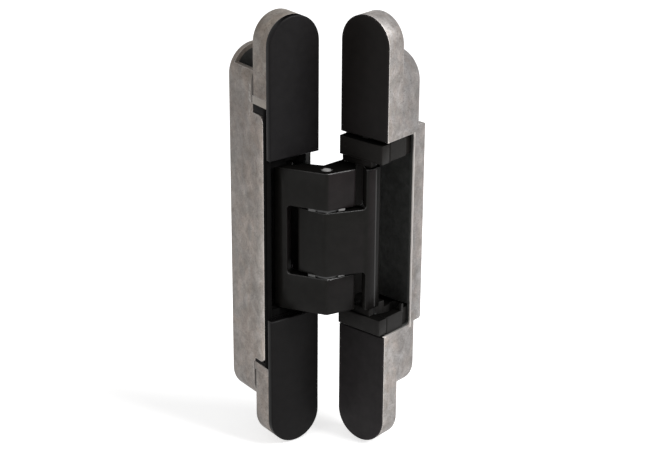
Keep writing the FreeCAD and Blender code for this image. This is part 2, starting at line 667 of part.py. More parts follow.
def right_housing_local():
    """One-piece die-cast housing: flange, deep body and a rear box behind the pocket."""
    w = HALF_WIDTH
    flange = plate(-w, w, -HALF_LENGTH, HALF_LENGTH, R_COVER_THICK, R_FLANGE_BACK, True, True)
    deep = plate(-w, w, -R_BODY_BOTTOM, R_BODY_TOP, R_FLANGE_BACK, R_BODY_BACK, True, True)
    rear = plate(-w, w, -R_BOX_BOTTOM, R_BOX_TOP, R_BODY_BACK, R_BOX_BACK)
    rims = edges_where(rear, lambda edge, middle: abs(middle.y - R_BOX_BACK) < 0.01 and abs(middle.x) < 0.01)
    rear = rear.makeFillet(R_BOX_ROUND, rims)
    body = fused([flange, deep, rear])
    inner = w - R_WALL
    floor = R_BOX_BACK - R_FLOOR
    pocket = box(-inner, inner, 0, floor, -R_WINDOW_BOTTOM, R_WINDOW_TOP)
    pocket = pocket.fuse(box(-w, w, 0, R_POCKET_LIP, -R_WINDOW_BOTTOM, R_WINDOW_TOP))
    pocket = pocket.fuse(box(0, w - R_THIN_WALL, 0, floor, -R_WINDOW_BOTTOM, R_WINDOW_TOP))
    window = box(-w, 0, 0, R_WINDOW_DEPTH, -R_WINDOW_BOTTOM, R_WINDOW_TOP)
    rounds = edges_where(window, lambda edge, middle: abs(middle.y - R_WINDOW_DEPTH) < 0.01
                         and abs(middle.x + w / 2) < 0.01)
    body = body.cut(pocket).cut(window.makeFillet(R_WINDOW_ROUND, rounds))
    notch = ARM_HALF_HEIGHT + NOTCH_CLEARANCE
    body = body.cut(box(0, w, 0, NOTCH_DEPTH, -notch, notch))
    clips = clip_holes(0, R_COVER_THICK + CLIP_LENGTH, SEAT_CLEARANCE)
    for end in clips + [clip.mirror(Vector(0, 0, 0), UP) for clip in clips]:
        body = body.cut(end)
    for top in (True, False):
        sign = 1 if top else -1
        body = body.cut(fixing_hole(sign * FIXING_HOLE_HEIGHT, R_COVER_THICK, R_FLANGE_BACK))
        z = sign * adjuster_height(top)
        head_end = ADJUSTER_BACK + ADJUSTER_CLEARANCE
        body = body.cut(peg(0, z, ADJUSTER_RADIUS + ADJUSTER_CLEARANCE, 0, head_end))
        body = body.cut(peg(0, z, ADJUSTER_SHANK + SEAT_CLEARANCE, 0, ADJUSTER_SHANK_BACK + SCREW_END_GAP))
    return body.removeSplitter()


def right_cover_local(top):
    """Thin cover plate with two pegs that clip into the flange."""
    w = HALF_WIDTH
    inner = R_COVER_INNER_TOP if top else R_COVER_INNER_BOTTOM
    body = plate(-w, w, inner, HALF_LENGTH, 0, R_COVER_THICK, True)
    front = edges_where(body, lambda edge, middle: abs(middle.y) < 0.01)
    body = body.makeChamfer(COVER_EDGE_BEVEL, front)
    body = fused([body] + clip_holes(R_COVER_THICK / 2, R_COVER_THICK + CLIP_LENGTH, 0))
    return body if top else body.mirror(Vector(0, 0, 0), UP)


def block_span(top):
    """Height band of a right block, from the arms' side to its outer end."""
    outer = R_WINDOW_TOP if top else R_WINDOW_BOTTOM
    return BLOCK_INNER_END, outer - R_BLOCK_CLEARANCE


def right_block_cuts(top):
    """Groove for the slider roller, seat for the pivot pin and room for the adjusting screw."""
    shift = -2 * LINK_PLANE - CLOSED_GAP
    groove = guide_groove(ARM_HALF_HEIGHT, GROOVE_END, shift)
    seat = post(Vector(LEFT_PIVOT.x, RIGHT_PIVOT_DEPTH, 0), PIVOT_PIN_RADIUS + SEAT_CLEARANCE,
                ARM_HALF_HEIGHT, R_PIN_END)
    z = adjuster_height(top)
    neck = peg(0, z, ADJUSTER_NECK + ADJUSTER_CLEARANCE, 0, ADJUSTER_BACK)
    rear_y = ADJUSTER_NECK_BACK - ADJUSTER_CLEARANCE
    room = peg(0, z, ADJUSTER_RADIUS + ADJUSTER_CLEARANCE, 0, ADJUSTER_NECK_FRONT + ADJUSTER_CLEARANCE)
    behind = peg(0, z, ADJUSTER_RADIUS + ADJUSTER_CLEARANCE, rear_y, ADJUSTER_BACK + ADJUSTER_CLEARANCE)
    return [groove, seat, neck, room, behind]


def right_front_block_local(top):
    """Front half of a pivot block, standing a little proud of the covers."""
    z0, z1 = block_span(top)
    w = HALF_WIDTH - R_BLOCK_SIDE
    body = box(-w, w, -R_BLOCK_PROUD, R_BLOCK_SPLIT, z0, z1 - R_BLOCK_DROP)
    rims = edges_where(body, lambda edge, middle: abs(middle.y + R_BLOCK_PROUD) < 0.01)
    body = body.makeChamfer(COVER_EDGE_BEVEL, rims)
    step = box(-R_STEP_INNER, R_STEP_SIDE, R_STEP_FRONT, R_BLOCK_SPLIT, BLOCK_STEP_END, z0)
    body = fused([body, step])
    for room in right_block_cuts(top):
        body = body.cut(room)
    return body if top else body.mirror(Vector(0, 0, 0), UP)


def right_carriage_local():
    """Black carriage: two guide blocks with the slider grooves, joined along the opening side."""
    w = HALF_WIDTH - R_BLOCK_SIDE
    inner = HALF_WIDTH - R_WALL - R_BLOCK_CLEARANCE
    front = R_BLOCK_SPLIT + R_BLOCK_SEAM
    side = HALF_WIDTH - R_THIN_WALL - SEAT_CLEARANCE
    ends = []
    for top in (True, False):
        z0, z1 = block_span(top)
        outer = box(-w, inner, front, R_BLOCK_STEP, z0, z1)
        corners = edges_where(outer, lambda edge, middle: abs(middle.x + w) < 0.01)
        body = fused([outer.makeFillet(R_BLOCK_ROUND, corners),
                      box(-inner, side, NOTCH_DEPTH, R_BLOCK_BACK, z0, z1),
                      box(-R_STEP_INNER, inner, R_BLOCK_SPLIT, R_STEP_BACK, BLOCK_STEP_END, z0)])
        if not top:
            body = fused([body, box(-w, -inner, R_BLOCK_STEP - R_RIM_THICK, R_BLOCK_STEP,
                                    BLOCK_STEP_END, z0 + R_RIM_FOOT)])
        for room in right_block_cuts(top):
            body = body.cut(room)
        ends.append(body if top else body.mirror(Vector(0, 0, 0), UP))
    strip = box(side - L_CARRIAGE_WALL, side, NOTCH_DEPTH, R_BLOCK_BACK,
                -block_span(False)[1], block_span(True)[1])
    return fused(ends + [strip])


def right_adjusting_screws_local():
    """Screws under the covers whose necks move the blocks in and out."""
    screws = []
    for top in (True, False):
        z = adjuster_height(top) * (1 if top else -1)
        front = peg(0, z, ADJUSTER_RADIUS, ADJUSTER_FRONT, ADJUSTER_NECK_FRONT)
        neck = peg(0, z, ADJUSTER_NECK, ADJUSTER_NECK_FRONT, ADJUSTER_NECK_BACK)
        back = peg(0, z, ADJUSTER_RADIUS, ADJUSTER_NECK_BACK, ADJUSTER_BACK)
        shank = peg(0, z, ADJUSTER_SHANK, ADJUSTER_BACK, ADJUSTER_SHANK_BACK)
        slot = box(-ADJUSTER_RADIUS, ADJUSTER_RADIUS, ADJUSTER_FRONT, ADJUSTER_FRONT + ADJUSTER_SLOT_DEPTH,
                   z - ADJUSTER_SLOT_WIDTH / 2, z + ADJUSTER_SLOT_WIDTH / 2)
        screws.append(fused([front, neck, back, shank]).cut(slot))
    return Part.makeCompound(screws)


def right_pivot_pin_local():
    return pivot_pin(Vector(LEFT_PIVOT.x, RIGHT_PIVOT_DEPTH, 0), -R_PIN_END, R_PIN_END)


# All pieces

def left_pieces():
    plate_screws = [screw(z, L_COVER_THICK) for z in (L_PLATE_SCREW_TOP, -L_PLATE_SCREW_BOTTOM)]
    clamp_screws = [screw(z, L_COVER_THICK) for z in (L_CLAMP_HEIGHT, -L_CLAMP_HEIGHT)]
    return {
        "left_housing": left_housing(),
        "left_end_plate_top": left_end_plate(True),
        "left_end_plate_bottom": left_end_plate(False),
        "left_end_plate_screws": Part.makeCompound(plate_screws),
        "left_cover_top": left_cover(True),
        "left_cover_bottom": left_cover(False),
        "left_carriage": left_carriage(),
        "left_carriage_screws": Part.makeCompound(clamp_screws),
        "left_pivot_pin": pivot_pin(LEFT_PIVOT, -L_PIN_END, L_PIN_END),
    }


def fork_pieces():
    return {
        "fork_arm": fork_closed(),
        "centre_pin": centre_pin_closed(),
        "centre_washers": centre_washers_closed(),
        "fork_slider_pins": slider_pins_closed(),
        "fork_slider_rollers": slider_rollers_closed(),
    }


def tongue_pieces():
    return {
        "tongue_arm": tongue_closed(),
        "tongue_slider_pins": mirror_link(slider_pins_closed()),
        "tongue_slider_rollers": mirror_link(slider_rollers_closed()),
    }


def right_pieces():
    local = {
        "right_housing": right_housing_local(),
        "right_cover_top": right_cover_local(True),
        "right_cover_bottom": right_cover_local(False),
        "right_front_block_top": right_front_block_local(True),
        "right_front_block_bottom": right_front_block_local(False),
        "right_carriage": right_carriage_local(),
        "right_adjusting_screws": right_adjusting_screws_local(),
        "right_pivot_pin": right_pivot_pin_local(),
    }
    return {node: face_left_body(shape) for node, shape in local.items()}


def posed(opening):
    """Every piece in its node, with the hinge at an opening angle."""
    pieces = left_pieces()
    for node, shape in fork_pieces().items():
        pieces[node] = swing(shape, ARM_TURN_SHARE * opening, opening)
    for node, shape in tongue_pieces().items():
        pieces[node] = swing(shape, (1 - ARM_TURN_SHARE) * opening, opening)
    for node, shape in right_pieces().items():
        pieces[node] = swing_right(shape, opening)
    return pieces


def main():
    os.makedirs("parts", exist_ok=True)
    seat = Vector(0, -L_PLATE_BACK, 0)
    for node, shape in posed(OPENING_AT_REST).items():
        moved = shape.translated(seat)
        moved.exportStep("parts/" + node + ".step")
        print(node, "solids", len(moved.Solids), "valid", moved.isValid(), "mm3", round(moved.Volume, 1))


main()
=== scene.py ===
import bpy
import json
import math
from mathutils import Matrix, Vector


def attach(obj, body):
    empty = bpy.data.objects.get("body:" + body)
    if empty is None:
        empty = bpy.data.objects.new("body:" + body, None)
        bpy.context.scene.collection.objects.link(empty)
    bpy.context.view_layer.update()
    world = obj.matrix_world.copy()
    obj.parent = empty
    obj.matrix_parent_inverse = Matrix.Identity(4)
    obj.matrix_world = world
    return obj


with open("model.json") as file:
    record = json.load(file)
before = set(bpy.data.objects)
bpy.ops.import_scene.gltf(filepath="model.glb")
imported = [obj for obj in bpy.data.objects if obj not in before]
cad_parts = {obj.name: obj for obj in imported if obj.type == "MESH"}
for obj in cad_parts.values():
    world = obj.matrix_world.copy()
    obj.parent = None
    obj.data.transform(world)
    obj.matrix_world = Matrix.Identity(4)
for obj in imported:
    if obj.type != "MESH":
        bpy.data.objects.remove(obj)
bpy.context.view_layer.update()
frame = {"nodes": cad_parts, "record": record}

# Sizes are in metres and colours in linear light

HALF_LENGTH = 0.094

# Softened edges of the CAD pieces
EDGE_WIDTH = 0.00025
EDGE_SEGMENTS = 2
EDGE_ANGLE = math.radians(32)
WELD_DISTANCE = 0.000002

# Width over which a painted box or a hollow fades in
SOFT_BORDER = 0.0003
ROUNDING_SAMPLES = 6
# Values between which most of a noise lies
NOISE_LOW = 0.3
NOISE_HIGH = 0.7
# Upward parts of a rounded edge's normal where it starts to count as rising and fully does
RISING_FROM = 0.1
RISING_TO = 0.4
WHITE = (1.0, 1.0, 1.0)
NO_SHEEN = (0.0, 0.0, 0.0)


# Node helpers for the procedural finishes

def new_material(name):
    """Empty node material with an output and a Principled shader."""
    material = bpy.data.materials.new(name)
    material.use_nodes = True
    tree = material.node_tree
    tree.nodes.clear()
    out = tree.nodes.new("ShaderNodeOutputMaterial")
    shader = tree.nodes.new("ShaderNodeBsdfPrincipled")
    tree.links.new(shader.outputs["BSDF"], out.inputs["Surface"])
    return material, tree, shader


def noise(tree, scale, detail=4.0, roughness=0.6, stretch=(1, 1, 1), distortion=0.0):
    """Noise in the object's own coordinates."""
    coords = tree.nodes.new("ShaderNodeTexCoord")
    mapping = tree.nodes.new("ShaderNodeMapping")
    mapping.inputs["Scale"].default_value = stretch
    texture = tree.nodes.new("ShaderNodeTexNoise")
    texture.inputs["Scale"].default_value = scale
    texture.inputs["Detail"].default_value = detail
    texture.inputs["Roughness"].default_value = roughness
    texture.inputs["Distortion"].default_value = distortion
    tree.links.new(coords.outputs["Object"], mapping.inputs["Vector"])
    tree.links.new(mapping.outputs["Vector"], texture.inputs["Vector"])
    return texture.outputs["Fac"]


def ramp(tree, value, stops):
    """Colour ramp over a value, stops as (position, (r, g, b))."""
    node = tree.nodes.new("ShaderNodeValToRGB")
    while len(node.color_ramp.elements) < len(stops):
        node.color_ramp.elements.new(0.5)
    for element, (position, colour) in zip(node.color_ramp.elements, stops):
        element.position = position
        element.color = (*colour, 1)
    tree.links.new(value, node.inputs["Fac"])
    return node.outputs["Color"]


def mapped(tree, value, start, stop, low=0.0, high=1.0, smooth=False):
    """Maps a value from start..stop to low..high and holds it at both ends."""
    node = tree.nodes.new("ShaderNodeMapRange")
    if smooth:
        node.interpolation_type = "SMOOTHSTEP"
    node.inputs["From Min"].default_value = start
    node.inputs["From Max"].default_value = stop
    node.inputs["To Min"].default_value = low
    node.inputs["To Max"].default_value = high
    tree.links.new(value, node.inputs["Value"])
    return node.outputs["Result"]


def spread(tree, value, low, high):
    """Maps the middle range of a noise to low..high."""
    return mapped(tree, value, NOISE_LOW, NOISE_HIGH, low, high)


def step_at(tree, value, start, stop):
    """Smooth step of a value, 0 at start and 1 at stop."""
    return mapped(tree, value, start, stop, smooth=True)


def beyond(tree, value, start, direction):
    """How far a value lies past a start in a direction of 1 or -1, 0 before it."""
    return mapped(tree, value, start, start + direction)


def along(tree, value, stops):
    """Colour factor along a coordinate, stops as (coordinate, (r, g, b))."""
    low = stops[0][0]
    high = stops[-1][0]
    shares = [((at - low) / (high - low), colour) for at, colour in stops]
    return ramp(tree, mapped(tree, value, low, high), shares)


def combined(tree, operation, a, b):
    """Two values through a math operation."""
    node = tree.nodes.new("ShaderNodeMath")
    node.operation = operation
    tree.links.new(a, node.inputs[0])
    tree.links.new(b, node.inputs[1])
    return node.outputs[0]


def product(tree, a, b):
    """Two values multiplied."""
    return combined(tree, "MULTIPLY", a, b)


def multiply(tree, a, b):
    """Two colours multiplied."""
    node = tree.nodes.new("ShaderNodeMix")
    node.data_type = "RGBA"
    node.blend_type = "MULTIPLY"
    node.inputs["Factor"].default_value = 1.0
    tree.links.new(a, node.inputs["A"])
    tree.links.new(b, node.inputs["B"])
    return node.outputs["Result"]


def blend(tree, mask, a, b):
    """Colour a where the mask is 0 and colour b where it is 1."""
    node = tree.nodes.new("ShaderNodeMix")
    node.data_type = "RGBA"
    tree.links.new(mask, node.inputs["Factor"])
    for colour, socket in ((a, "A"), (b, "B")):
        if isinstance(colour, tuple):
            node.inputs[socket].default_value = (*colour, 1)
        else:
            tree.links.new(colour, node.inputs[socket])
    return node.outputs["Result"]


def grey(level):
    """A grey, or an even factor."""
    return (level,) * 3


def scaled(shade, factor):
    """A colour times a factor."""
    return tuple(channel * factor for channel in shade)


def body_place(tree, origin=(0, 0, 0), turn=0.0):
    """Place in a body's own frame, from the object's coordinates."""
    coords = tree.nodes.new("ShaderNodeTexCoord")
    mapping = tree.nodes.new("ShaderNodeMapping")
    mapping.vector_type = "TEXTURE"
    mapping.inputs["Location"].default_value = origin
    mapping.inputs["Rotation"].default_value = (0, 0, turn)
    parts = tree.nodes.new("ShaderNodeSeparateXYZ")
    tree.links.new(coords.outputs["Object"], mapping.inputs["Vector"])
    tree.links.new(mapping.outputs["Vector"], parts.inputs["Vector"])
    return parts.outputs


def inside(tree, place, low, high, soft=SOFT_BORDER):
    """1 inside a box, fading to 0 over a soft border."""
    total = None
    for axis in range(3):
        for value in (step_at(tree, place[axis], low[axis], low[axis] + soft),
                      step_at(tree, place[axis], high[axis], high[axis] - soft)):
            total = value if total is None else product(tree, total, value)
    return total


def inside_any(tree, place, boxes):
    """1 inside any of the boxes."""
    total = inside(tree, place, *boxes[0])
    for box in boxes[1:]:
        total = combined(tree, "MAXIMUM", total, inside(tree, place, *box))
    return total


def painted(tree, place, colour, paint):
    """A colour with boxes of other shades over it, paint as (box, shade)."""
    for box, shade in paint:
        colour = blend(tree, inside(tree, place, *box), colour, shade)
    return colour


def rounded_normal(tree, radius):
    """Surface normal as if the edges were rounded."""
    node = tree.nodes.new("ShaderNodeBevel")
    node.samples = ROUNDING_SAMPLES
    node.inputs["Radius"].default_value = radius
    return node.outputs["Normal"]


def normal_dot(tree):
    """Dot product node that already has the surface normal as its first vector."""
    geometry = tree.nodes.new("ShaderNodeNewGeometry")
    node = tree.nodes.new("ShaderNodeVectorMath")
    node.operation = "DOT_PRODUCT"
    tree.links.new(geometry.outputs["Normal"], node.inputs[0])
    return node


def facing(tree, axis, start, stop):
    """Smooth step of the surface normal along an axis."""
    node = normal_dot(tree)
    node.inputs[1].default_value = axis
    return step_at(tree, node.outputs["Value"], start, stop)


def edges(tree, radius, start=0.02, stop=0.14):
    """1 along sharp edges, 0 on open faces."""
    node = normal_dot(tree)
    tree.links.new(rounded_normal(tree, radius), node.inputs[1])
    return step_at(tree, node.outputs["Value"], 1 - start, 1 - stop)


def rising_edge(tree, radius):
    """1 where a rounded edge looks upwards at a slant, 0 on upright edges."""
    parts = tree.nodes.new("ShaderNodeSeparateXYZ")
    tree.links.new(rounded_normal(tree, radius), parts.inputs["Vector"])
    return step_at(tree, parts.outputs["Z"], RISING_FROM, RISING_TO)


def bumped(tree, shader, height, strength, distance, edge_round=0.0):
    """Adds a small relief to a shader, over softened edges where a radius is given."""
    node = tree.nodes.new("ShaderNodeBump")
    node.inputs["Strength"].default_value = strength
    node.inputs["Distance"].default_value = distance
    if edge_round:
        tree.links.new(rounded_normal(tree, edge_round), node.inputs["Normal"])
    tree.links.new(height, node.inputs["Height"])
    tree.links.new(node.outputs["Normal"], shader.inputs["Normal"])


# Frame of the right body: X towards its opening edge, -Y into it

RIGHT_SEAT = next(m for m in frame["record"]["mounts"] if m["name"] == "right_seat_top")
RIGHT_INWARD = Vector(RIGHT_SEAT["axis"])
RIGHT_FLANGE_DEPTH = 0.0099
RIGHT_SEAT_PLACE = Vector((*RIGHT_SEAT["pos_m"][:2], 0))
RIGHT_ORIGIN = RIGHT_SEAT_PLACE - RIGHT_FLANGE_DEPTH * RIGHT_INWARD
RIGHT_TURN = math.atan2(RIGHT_INWARD.x, -RIGHT_INWARD.y)

# Hollows painted dark as painted shade, each in its body's frame

TROUGH_RADIUS = 0.0102
TROUGH_TOP_CENTRE = 0.065
TROUGH_BOTTOM_CENTRE = -0.0673
TROUGH_FRONT = -0.0066
TROUGH_BACK = 0.0146
POCKET = (((-0.0113, -0.0204, -0.0437), (0.0113, -0.0028, 0.0437)),
          ((-0.0113, -0.0233, -0.0397), (0.0113, -0.0195, 0.0437)))


def trough_hollow(tree, place):
    """1 inside the left body's trough, which has round ends."""
    over = combined(tree, "ADD", beyond(tree, place[2], TROUGH_TOP_CENTRE, 1),
                    beyond(tree, place[2], TROUGH_BOTTOM_CENTRE, -1))
    squared = combined(tree, "ADD", product(tree, place[0], place[0]), product(tree, over, over))
    across = step_at(tree, squared, TROUGH_RADIUS ** 2, (TROUGH_RADIUS - SOFT_BORDER) ** 2)
    front = step_at(tree, place[1], TROUGH_FRONT, TROUGH_FRONT + SOFT_BORDER)
    back = step_at(tree, place[1], TROUGH_BACK, TROUGH_BACK - SOFT_BORDER)
    return product(tree, across, product(tree, front, back))


def pocket_hollow(tree, place):
    """1 inside the right body's pocket."""
    return inside_any(tree, place, POCKET)


# Bare zinc

ZINC_DARK = (0.19, 0.176, 0.164)
ZINC_MID = (0.265, 0.247, 0.234)
ZINC_PALE = (0.36, 0.34, 0.325)
ZINC_COOL = (0.97, 0.995, 1.015)
ZINC_WARM = (1.035, 1.0, 0.975)
ZINC_METALLIC = 0.55
ZINC_SPECULAR = 0.2
ZINC_ROUGHNESS = (0.42, 0.62)
ZINC_EDGE_ROUND = 0.0006
# Painted highlight colour of the zinc's edges
ZINC_EDGE_HIGHLIGHT = scaled(ZINC_PALE, 1.1)
# Roundness and edge range of the painted highlight on the front rims
RIM_ROUND = 0.0005
RIM_EDGE = (0.01, 0.07)
CHIP_SHADE = scaled(ZINC_PALE, 0.95)
CHIP_BORDER = 0.0006

# Factors of the zinc along the depth and the height, as (place, factor). On the left body they are
# painted shading, darker towards the top, with a painted highlight at the front; elsewhere they make the
# zinc darker deeper in, and the right body lighter low down.
LEFT_ZINC_SHADING = [(-HALF_LENGTH, (1.02, 0.985, 0.955)), (0.0, (0.98, 0.945, 0.91)),
                  (0.05, (0.76, 0.72, 0.69)), (HALF_LENGTH, (0.84, 0.80, 0.74))]
LEFT_DEPTH_SHADING = [(-0.008, grey(1.9)), (-0.0071, grey(1.4)), (-0.003, grey(0.92)), (0.0167, grey(0.82))]
PLATE_DEPTH_TONE = [(-0.013, grey(0.9)), (0.0, grey(0.82))]
RIGHT_ZINC_TONE = [(-HALF_LENGTH, grey(1.0)), (-0.055, grey(1.2)), (0.0, grey(1.08)),
                   (HALF_LENGTH, grey(0.93))]
RIGHT_DEPTH_TONE = [(-0.0251, (0.82, 0.82, 0.83)), (-0.0205, (0.7, 0.7, 0.71)),
                    (-0.0103, (0.76, 0.76, 0.77)), (-0.009, (0.88, 0.87, 0.87)),
                    (-0.001, (1.05, 1.04, 1.04))]

# Painted highlights on the front rims: the depths where they start and are full, and their brightness
LEFT_RIM_HIGHLIGHT = (-0.0066, -0.0072, 2.6)
PLATE_RIM_HIGHLIGHT = (-0.0105, -0.0115, 1.4)
RIGHT_RIM_HIGHLIGHT = (-0.0025, -0.0018, 2.6)

# Lighter band at the end of the upper plate: partly a polished strip, partly painted light where a small
# ledge catches the light from above
PLATE_BAND = ((-0.0130, -0.0130, 0.0566), (-0.0110, -0.0003, 0.0602))
PLATE_BAND_SHADE = (0.245, 0.222, 0.198)
# Painted shadow lines in the seams behind both plates, and the chipped strip beside the upper one
SEAM_SHADOWS = (((-0.0130, -0.0005, 0.0570), (-0.0110, 0.0004, 0.0945)),
         ((-0.0130, -0.0005, -0.0715), (-0.0110, 0.0004, -0.0580)))
SEAM_SHADE = scaled(ZINC_DARK, 0.3)
CHIPPED_STRIP = ((-0.0130, 0.0003, 0.0500), (-0.0110, 0.0026, 0.0660))
# Painted shade inside the left trough
TROUGH_SHADE = (0.030, 0.030, 0.029)
# Painted highlight on the rear cut of the right body's side window
WINDOW_HIGHLIGHT = ((-0.0123, -0.0187, -0.0437), (-0.0111, -0.0179, 0.0437))
WINDOW_HIGHLIGHT_SHADE = scaled(ZINC_PALE, 1.6)
# Shade in the two gaps between the right covers and the blocks
COVER_GAPS = (((-0.0112, -0.0098, 0.0415), (0.0113, 0.0003, 0.0452)),
              ((-0.0112, -0.0098, -0.0442), (0.0113, 0.0003, -0.0405)))
GAP_SHADE = (0.012, 0.012, 0.012)
# Painted shade inside the right pocket
POCKET_SHADE = (0.047, 0.048, 0.046)

# Painted shadow lines in the seams
LEFT_PAINT = [(seam, SEAM_SHADE) for seam in SEAM_SHADOWS]
# Painted highlight on the window cut and painted shade in the cover gaps
RIGHT_PAINT = [(WINDOW_HIGHLIGHT, WINDOW_HIGHLIGHT_SHADE)] + [(gap, GAP_SHADE) for gap in COVER_GAPS]


def zinc_pattern(tree):
    """Soft clouds, a slight change of hue and fine dark pits."""
    coarse = noise(tree, scale=230, detail=7, roughness=0.66, stretch=(1, 1, 0.8), distortion=0.5)
    clouds = ramp(tree, coarse, [(0.30, ZINC_DARK), (0.5, ZINC_MID), (0.70, ZINC_PALE)])
    broad = noise(tree, scale=110, detail=5, roughness=0.7, stretch=(1, 1, 0.6), distortion=1.2)
    hue = ramp(tree, broad, [(0.40, ZINC_COOL), (0.5, WHITE), (0.60, ZINC_WARM)])
    fine = noise(tree, scale=1500, detail=3, roughness=0.7)
    pits = ramp(tree, fine, [(0.30, (0.62, 0.60, 0.58)), (0.46, WHITE), (0.72, grey(1.12))])
    return multiply(tree, multiply(tree, clouds, hue), pits)


def zinc_chips(tree, place, box):
    """Mask of small chips inside a box."""
    spots = noise(tree, scale=800, detail=5, roughness=0.7, stretch=(1, 1, 0.6))
    return product(tree, step_at(tree, spots, 0.5, 0.58), inside(tree, place, *box, CHIP_BORDER))


def shaded_hollow(tree, shader, colour, mask, shade):
    """Paints a dull dark shade over the zinc where the mask is 1, as painted shade inside the hollow,
    and takes the metal away there.
    """
    coat = ramp(tree, noise(tree, scale=300, detail=5, roughness=0.65),
                [(0.3, scaled(shade, 0.75)), (0.7, scaled(shade, 1.4))])
    metal = tree.nodes.new("ShaderNodeMath")
    metal.operation = "SUBTRACT"
    metal.use_clamp = True
    metal.inputs[0].default_value = ZINC_METALLIC
    tree.links.new(mask, metal.inputs[1])
    tree.links.new(metal.outputs[0], shader.inputs["Metallic"])
    return blend(tree, mask, colour, coat)


def raw_zinc(name, depth_tone, rim, height_tone, hollow=None, hollow_shade=None,
             origin=(0, 0, 0), turn=0.0, paint=(), chipped=None):
    """Bare die-cast zinc: cloudy, slightly pitted, with a painted highlight on its front rim and painted
    shade in its hollow.
    """
    material, tree, shader = new_material(name)
    place = body_place(tree, origin, turn)
    # Factors along the depth and the height: painted shading and highlight on the left body
    colour = multiply(tree, zinc_pattern(tree), along(tree, place[1], depth_tone))
    colour = multiply(tree, colour, along(tree, place[2], height_tone))
    # Painted highlight along the zinc's edges
    colour = blend(tree, edges(tree, ZINC_EDGE_ROUND), colour, ZINC_EDGE_HIGHLIGHT)
    # Painted highlight along the front rim
    rim_start, rim_full, rim_brightness = rim
    at_front = step_at(tree, place[1], rim_start, rim_full)
    front_rim_highlight = product(tree, edges(tree, RIM_ROUND, *RIM_EDGE), at_front)
    colour = blend(tree, front_rim_highlight, colour, scaled(ZINC_PALE, rim_brightness))
    colour = painted(tree, place, colour, paint)
    if chipped:
        colour = blend(tree, zinc_chips(tree, place, chipped), colour, CHIP_SHADE)
    shader.inputs["Metallic"].default_value = ZINC_METALLIC
    # Painted shade inside the hollow
    if hollow:
        colour = shaded_hollow(tree, shader, colour, hollow(tree, place), hollow_shade)
    tree.links.new(colour, shader.inputs["Base Color"])
    shader.inputs["Specular IOR Level"].default_value = ZINC_SPECULAR
    roughness = spread(tree, noise(tree, scale=420), *ZINC_ROUGHNESS)
    tree.links.new(roughness, shader.inputs["Roughness"])
    grain = noise(tree, scale=900, detail=5, roughness=0.65)
    bumped(tree, shader, grain, strength=0.25, distance=0.0002)
    return material


# Black coat of the covers, the arms and the blocks

UPRIGHT_EDGE_SHEEN = 0.16
FACE_SHEEN = 0.07
# Painted shade: top faces of the black coat are darker by this factor
TOP_SHADE_FACTOR = 0.5
ROUGHNESS_STEP = 0.08
# How squarely a face looks along a direction where a shade starts and is full
TOP_FACING = (0.7, 0.95)
SIDE_FACING = (0.8, 0.9)
UP = (0, 0, 1)
# Direction of the arms' faces that catch the key lamp, which are painted lighter
LIT_SIDE = (0.2, -0.98, 0)
COVER_EDGE_ROUND = 0.0004
ARM_EDGE_ROUND = 0.0009
INNER_EDGE_ROUND = 0.0003

ARM_BLACK = (0.0090, 0.0085, 0.0078)
LEFT_COVER_BLACK = (0.0088, 0.0081, 0.0084)
RIGHT_COVER_BLACK = (0.0080, 0.0072, 0.0072)
BLOCK_BLACK = (0.0088, 0.0084, 0.0079)
INNER_BLACK = (0.009, 0.0087, 0.0087)
ARM_BACK_SIDE = (-0.8, 0.6, 0)
INNER_DULL_SIDE = (-1, 0, 0)

# Painted light and shade on the black pieces along the height and the depth, as (place, factor): the
# left covers darker towards the bottom, the right covers and blocks lighter low down as a painted
# reflection, the arms' lit faces lighter higher up, and the inner carriage dark at its front and
# lightened deeper in
LEFT_COVER_SHADING = [(-HALF_LENGTH, grey(0.72)), (-0.03, (0.75, 0.75, 0.73)), (0.03, (0.9, 0.9, 0.93)),
                   (HALF_LENGTH, grey(0.96))]
RIGHT_SHADING = [(-HALF_LENGTH, (2.7, 2.7, 2.8)), (-0.045, (1.7, 1.7, 1.75)), (0.02, (1.0, 0.95, 0.93)),
              (HALF_LENGTH, (0.95, 0.88, 0.8))]
ARM_LIT_TONE = [(-HALF_LENGTH, (0.75, 0.72, 0.75)), (-0.031, (0.78, 0.75, 0.78)),
                (0.0, (1.1, 1.0, 1.08)), (0.031, (1.5, 1.3, 1.45)), (HALF_LENGTH, (1.5, 1.3, 1.45))]
INNER_DEPTH_SHADING = [(-0.0129, grey(0.35)), (-0.0095, grey(0.45)), (-0.007, grey(2.5)),
                    (0.015, grey(5.0))]

# The tongue web's outer corner: painted shade on the flank, then a painted highlight line
WEB_FLANK_SHADOW = ((0.0264, -0.0345, -0.032), (0.0335, -0.0225, 0.032))
WEB_HIGHLIGHT = ((0.0256, -0.0345, -0.0305), (0.0266, -0.0315, 0.0305))
WEB_PAINT = ((WEB_FLANK_SHADOW, scaled(ARM_BLACK, 0.5)), (WEB_HIGHLIGHT, (0.045, 0.044, 0.044)))

ARM_COAT = {
    "rough": 0.28,
    "edge_round": ARM_EDGE_ROUND,
    "edge_sheen": 0.9,
    "dull_side": ARM_BACK_SIDE,
    "lit_tone": ARM_LIT_TONE,
}


